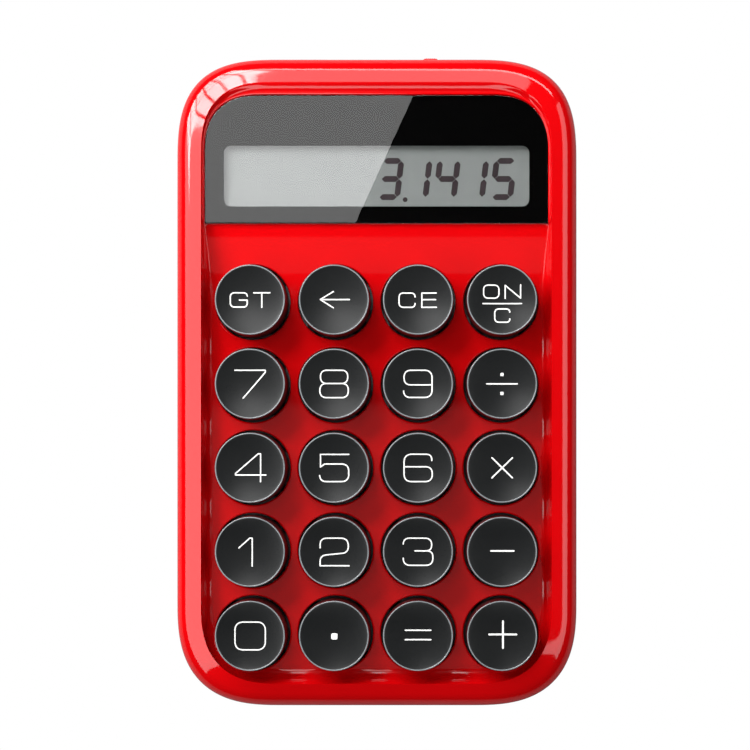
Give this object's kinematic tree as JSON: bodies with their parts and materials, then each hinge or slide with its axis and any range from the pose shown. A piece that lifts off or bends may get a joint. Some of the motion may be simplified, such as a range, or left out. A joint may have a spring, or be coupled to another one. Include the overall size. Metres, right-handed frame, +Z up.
{
  "type": "desk calculator",
  "caption": "Wedge-shaped calculator: glossy rimmed case, flat display lens, round dished keys on sprung switches, sliding battery door and rear slide switch.",
  "frame": {"origin": "centre of the plan, on the plane that the feet stand on", "axes": "+Z up, +Y from the keypad towards the display, +X to the right of somebody reading the display"},
  "size_m": [0.1014, 0.1646, 0.0345],
  "materials": {
    "shell_red": "glossy moulded ABS",
    "lens": "clear acrylic with a black printed border",
    "lcd_glass": "grey-green display glass",
    "inner_plastic": "white moulded frame",
    "zebra_rubber": "conductive rubber strip",
    "circuit_board": "green solder mask",
    "cable_film": "flat cable film",
    "plate_steel": "black coated steel",
    "housing_plastic": "black nylon",
    "spring_steel": "plated spring wire",
    "component_black": "epoxy and moulded parts",
    "cell_sleeve": "printed cell sleeve",
    "contact_metal": "nickel plate",
    "foot_rubber": "black rubber",
    "screw_steel": "zinc plated",
    "key_dark": "dark satin ABS",
    "stem_blue": "blue acetal"
  },
  "bodies": {
    "case": {"upper_shell": "shell_red", "lower_shell": "shell_red", "display_lens": "lens", "lcd_panel": "lcd_glass", "lcd_frame": "inner_plastic", "zebra_strips": "zebra_rubber", "lcd_board": "circuit_board", "ribbon_cable": "cable_film", "switch_plate": "plate_steel", "switch_housings": "housing_plastic", "switch_springs": "spring_steel", "main_board": "circuit_board", "board_components": "component_black", "batteries": "cell_sleeve", "battery_contacts": "contact_metal", "rubber_feet": "foot_rubber", "case_screws": "screw_steel", "slide_switch_body": "contact_metal"},
    "battery_door": {"battery_door": "shell_red"},
    "slide_knob": {"slide_knob": "shell_red"},
    "key_0": {"key_0": "key_dark", "stem_0": "stem_blue"},
    "key_point": {"key_point": "key_dark", "stem_point": "stem_blue"},
    "key_equals": {"key_equals": "key_dark", "stem_equals": "stem_blue"},
    "key_plus": {"key_plus": "key_dark", "stem_plus": "stem_blue"},
    "key_1": {"key_1": "key_dark", "stem_1": "stem_blue"},
    "key_2": {"key_2": "key_dark", "stem_2": "stem_blue"},
    "key_3": {"key_3": "key_dark", "stem_3": "stem_blue"},
    "key_minus": {"key_minus": "key_dark", "stem_minus": "stem_blue"},
    "key_4": {"key_4": "key_dark", "stem_4": "stem_blue"},
    "key_5": {"key_5": "key_dark", "stem_5": "stem_blue"},
    "key_6": {"key_6": "key_dark", "stem_6": "stem_blue"},
    "key_times": {"key_times": "key_dark", "stem_times": "stem_blue"},
    "key_7": {"key_7": "key_dark", "stem_7": "stem_blue"},
    "key_8": {"key_8": "key_dark", "stem_8": "stem_blue"},
    "key_9": {"key_9": "key_dark", "stem_9": "stem_blue"},
    "key_divide": {"key_divide": "key_dark", "stem_divide": "stem_blue"},
    "key_total": {"key_total": "key_dark", "stem_total": "stem_blue"},
    "key_back": {"key_back": "key_dark", "stem_back": "stem_blue"},
    "key_ce": {"key_ce": "key_dark", "stem_ce": "stem_blue"},
    "key_on": {"key_on": "key_dark", "stem_on": "stem_blue"}
  },
  "joints": [
    {"name": "battery_door_slide", "type": "slide", "parent": "case", "child": "battery_door", "axis": [0, 1, 0], "range_m": [0, 0.03]},
    {"name": "slide_knob_slide", "type": "slide", "parent": "case", "child": "slide_knob", "axis": [-1, 0, 0], "range_m": [0, 0.004]},
    {"name": "press_0", "type": "slide", "parent": "case", "child": "key_0", "axis": [0, 0.0523, -0.9986], "range_m": [0, 0.0035], "stiffness_N_per_m": 80, "springref_m": -0.004, "deforming": ["switch_springs"]},
    {"name": "press_point", "type": "slide", "parent": "case", "child": "key_point", "axis": [0, 0.0523, -0.9986], "range_m": [0, 0.0035], "stiffness_N_per_m": 80, "springref_m": -0.004, "deforming": ["switch_springs"]},
    {"name": "press_equals", "type": "slide", "parent": "case", "child": "key_equals", "axis": [0, 0.0523, -0.9986], "range_m": [0, 0.0035], "stiffness_N_per_m": 80, "springref_m": -0.004, "deforming": ["switch_springs"]},
    {"name": "press_plus", "type": "slide", "parent": "case", "child": "key_plus", "axis": [0, 0.0523, -0.9986], "range_m": [0, 0.0035], "stiffness_N_per_m": 80, "springref_m": -0.004, "deforming": ["switch_springs"]},
    {"name": "press_1", "type": "slide", "parent": "case", "child": "key_1", "axis": [0, 0.0523, -0.9986], "range_m": [0, 0.0035], "stiffness_N_per_m": 80, "springref_m": -0.004, "deforming": ["switch_springs"]},
    {"name": "press_2", "type": "slide", "parent": "case", "child": "key_2", "axis": [0, 0.0523, -0.9986], "range_m": [0, 0.0035], "stiffness_N_per_m": 80, "springref_m": -0.004, "deforming": ["switch_springs"]},
    {"name": "press_3", "type": "slide", "parent": "case", "child": "key_3", "axis": [0, 0.0523, -0.9986], "range_m": [0, 0.0035], "stiffness_N_per_m": 80, "springref_m": -0.004, "deforming": ["switch_springs"]},
    {"name": "press_minus", "type": "slide", "parent": "case", "child": "key_minus", "axis": [0, 0.0523, -0.9986], "range_m": [0, 0.0035], "stiffness_N_per_m": 80, "springref_m": -0.004, "deforming": ["switch_springs"]},
    {"name": "press_4", "type": "slide", "parent": "case", "child": "key_4", "axis": [0, 0.0523, -0.9986], "range_m": [0, 0.0035], "stiffness_N_per_m": 80, "springref_m": -0.004, "deforming": ["switch_springs"]},
    {"name": "press_5", "type": "slide", "parent": "case", "child": "key_5", "axis": [0, 0.0523, -0.9986], "range_m": [0, 0.0035], "stiffness_N_per_m": 80, "springref_m": -0.004, "deforming": ["switch_springs"]},
    {"name": "press_6", "type": "slide", "parent": "case", "child": "key_6", "axis": [0, 0.0523, -0.9986], "range_m": [0, 0.0035], "stiffness_N_per_m": 80, "springref_m": -0.004, "deforming": ["switch_springs"]},
    {"name": "press_times", "type": "slide", "parent": "case", "child": "key_times", "axis": [0, 0.0523, -0.9986], "range_m": [0, 0.0035], "stiffness_N_per_m": 80, "springref_m": -0.004, "deforming": ["switch_springs"]},
    {"name": "press_7", "type": "slide", "parent": "case", "child": "key_7", "axis": [0, 0.0523, -0.9986], "range_m": [0, 0.0035], "stiffness_N_per_m": 80, "springref_m": -0.004, "deforming": ["switch_springs"]},
    {"name": "press_8", "type": "slide", "parent": "case", "child": "key_8", "axis": [0, 0.0523, -0.9986], "range_m": [0, 0.0035], "stiffness_N_per_m": 80, "springref_m": -0.004, "deforming": ["switch_springs"]},
    {"name": "press_9", "type": "slide", "parent": "case", "child": "key_9", "axis": [0, 0.0523, -0.9986], "range_m": [0, 0.0035], "stiffness_N_per_m": 80, "springref_m": -0.004, "deforming": ["switch_springs"]},
    {"name": "press_divide", "type": "slide", "parent": "case", "child": "key_divide", "axis": [0, 0.0523, -0.9986], "range_m": [0, 0.0035], "stiffness_N_per_m": 80, "springref_m": -0.004, "deforming": ["switch_springs"]},
    {"name": "press_total", "type": "slide", "parent": "case", "child": "key_total", "axis": [0, 0.0523, -0.9986], "range_m": [0, 0.0035], "stiffness_N_per_m": 80, "springref_m": -0.004, "deforming": ["switch_springs"]},
    {"name": "press_back", "type": "slide", "parent": "case", "child": "key_back", "axis": [0, 0.0523, -0.9986], "range_m": [0, 0.0035], "stiffness_N_per_m": 80, "springref_m": -0.004, "deforming": ["switch_springs"]},
    {"name": "press_ce", "type": "slide", "parent": "case", "child": "key_ce", "axis": [0, 0.0523, -0.9986], "range_m": [0, 0.0035], "stiffness_N_per_m": 80, "springref_m": -0.004, "deforming": ["switch_springs"]},
    {"name": "press_on", "type": "slide", "parent": "case", "child": "key_on", "axis": [0, 0.0523, -0.9986], "range_m": [0, 0.0035], "stiffness_N_per_m": 80, "springref_m": -0.004, "deforming": ["switch_springs"]}
  ]
}
